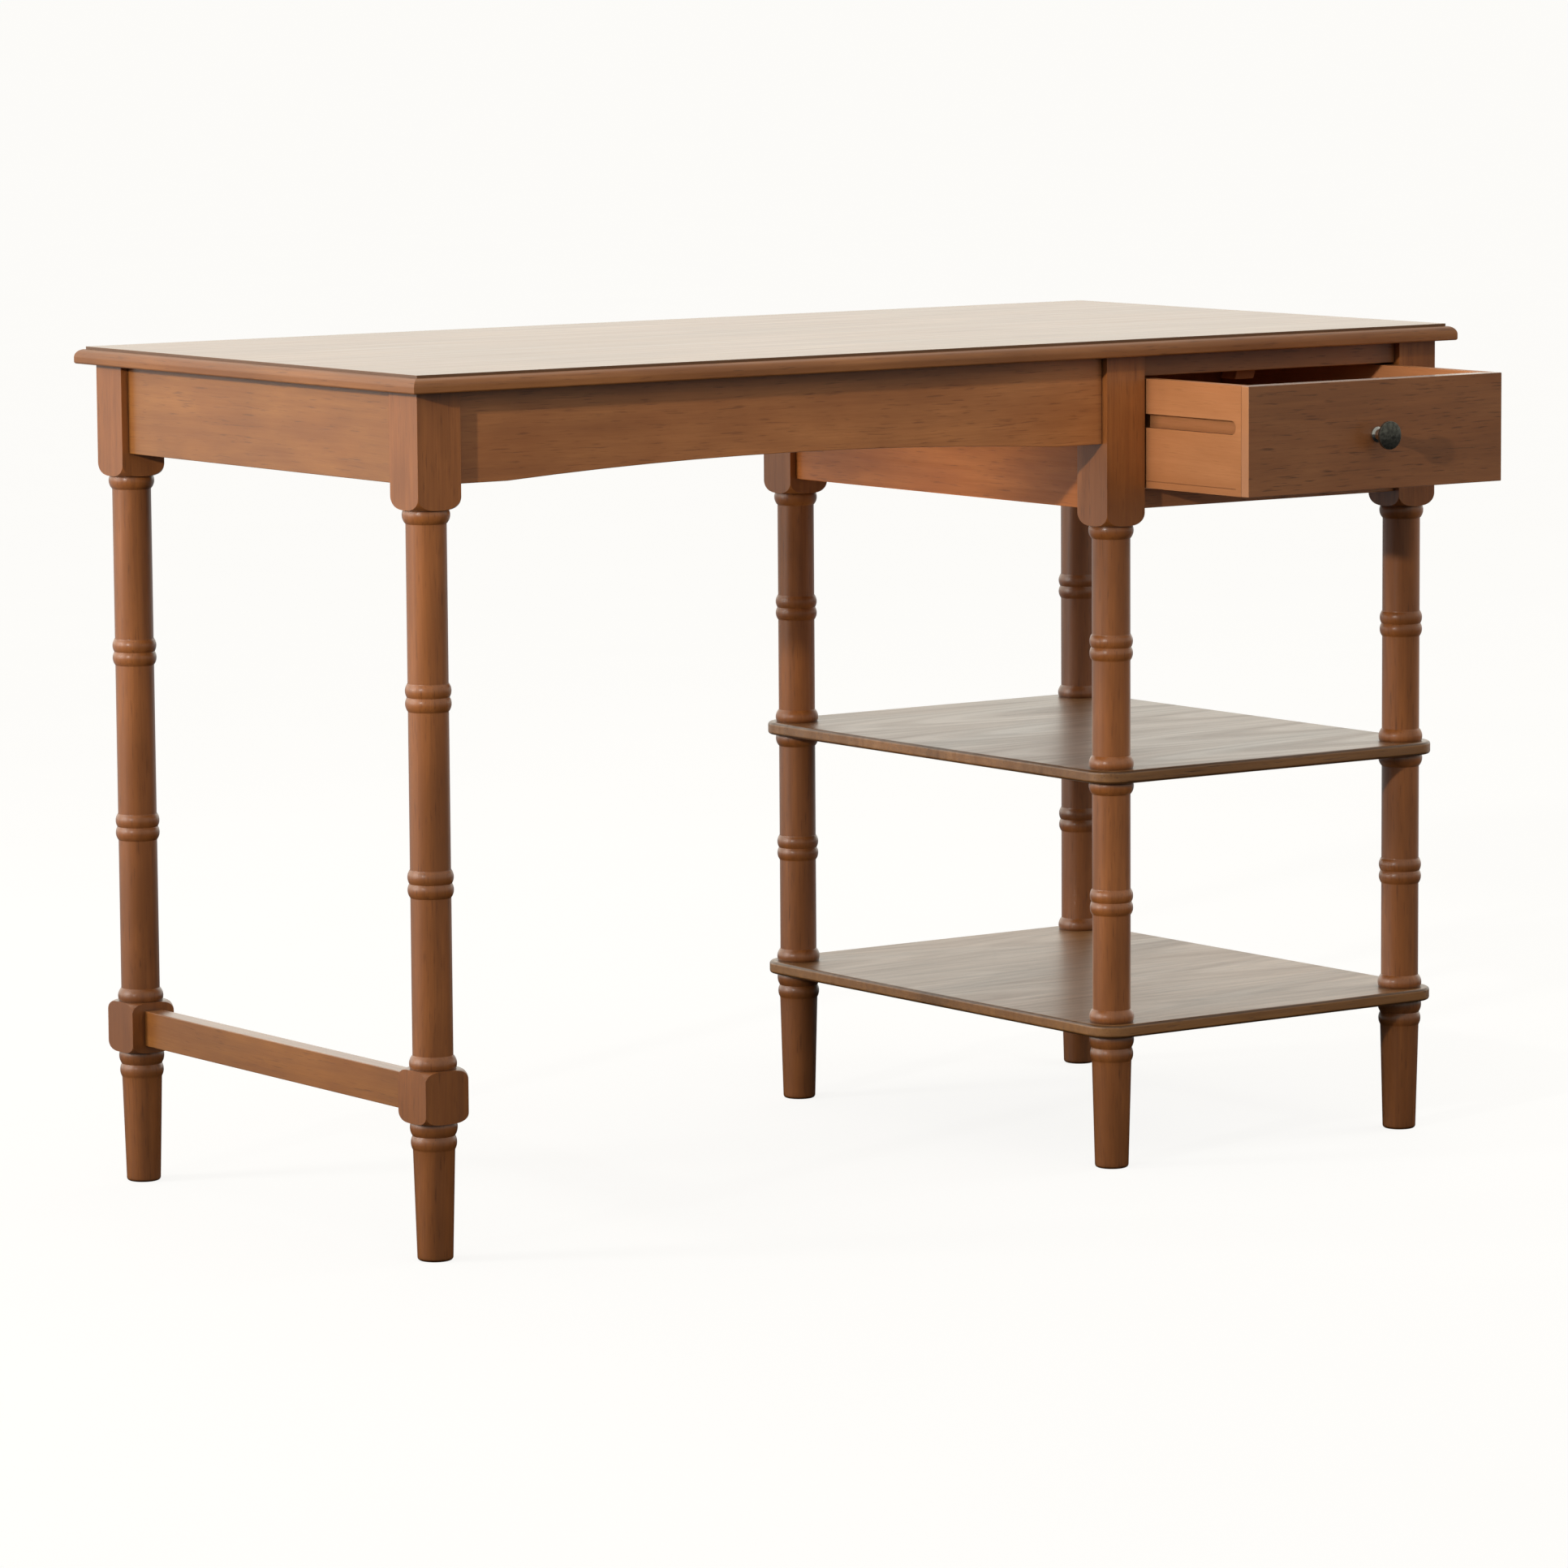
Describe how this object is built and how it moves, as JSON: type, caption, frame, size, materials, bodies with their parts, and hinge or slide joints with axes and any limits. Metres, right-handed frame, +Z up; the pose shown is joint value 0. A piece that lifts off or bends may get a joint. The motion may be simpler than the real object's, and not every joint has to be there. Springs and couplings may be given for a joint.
{
  "type": "kneehole writing desk",
  "caption": "Wooden kneehole writing desk with ringed turned legs, an open shelf pedestal and a knobbed drawer over it.",
  "frame": {"origin": "middle of the footprint on the floor, with the drawer part open as at rest", "axes": "+X along the desk from its open end to its pedestal end, +Y from the front to the back, +Z up"},
  "size_m": [1.154, 0.7152, 0.76],
  "materials": {
    "stained_wood": "brown stain under satin lacquer",
    "drawer_wood": "clear satin lacquer",
    "dark_metal": "dark pewter, satin",
    "steel": "zinc plated"
  },
  "bodies": {
    "desk": {"left_front_leg": "stained_wood", "left_back_leg": "stained_wood", "inner_front_upper_leg": "stained_wood", "inner_front_middle_leg": "stained_wood", "inner_front_foot": "stained_wood", "inner_back_upper_leg": "stained_wood", "inner_back_middle_leg": "stained_wood", "inner_back_foot": "stained_wood", "outer_front_upper_leg": "stained_wood", "outer_front_middle_leg": "stained_wood", "outer_front_foot": "stained_wood", "outer_back_upper_leg": "stained_wood", "outer_back_middle_leg": "stained_wood", "outer_back_foot": "stained_wood", "top_panel": "stained_wood", "front_edge_moulding": "stained_wood", "right_edge_moulding": "stained_wood", "back_edge_moulding": "stained_wood", "left_edge_moulding": "stained_wood", "upper_shelf": "stained_wood", "lower_shelf": "stained_wood", "left_stretcher": "stained_wood", "left_end_apron": "stained_wood", "front_apron": "stained_wood", "kneehole_back_apron": "stained_wood", "pedestal_inner_apron": "stained_wood", "pedestal_outer_apron": "stained_wood", "pedestal_back_apron": "stained_wood", "drawer_upper_rail": "stained_wood", "drawer_lower_rail": "stained_wood", "left_front_corner_block": "drawer_wood", "left_back_corner_block": "drawer_wood", "kneehole_front_cleat": "drawer_wood", "kneehole_back_cleat": "drawer_wood", "pedestal_inner_cleat": "drawer_wood", "pedestal_outer_cleat": "drawer_wood", "drawer_inner_runner": "drawer_wood", "drawer_outer_runner": "drawer_wood", "drawer_stop": "drawer_wood", "top_screws": "steel", "runner_screws": "steel", "leg_studs": "steel"},
    "drawer": {"drawer_front": "stained_wood", "drawer_inner_side": "drawer_wood", "drawer_outer_side": "drawer_wood", "drawer_back": "drawer_wood", "drawer_bottom": "drawer_wood", "drawer_knob": "dark_metal", "knob_screw": "steel"}
  },
  "joints": [
    {"name": "drawer_slide", "type": "slide", "parent": "desk", "child": "drawer", "axis": [0, -1, 0], "range_m": [-0.152, 0.1845]}
  ]
}
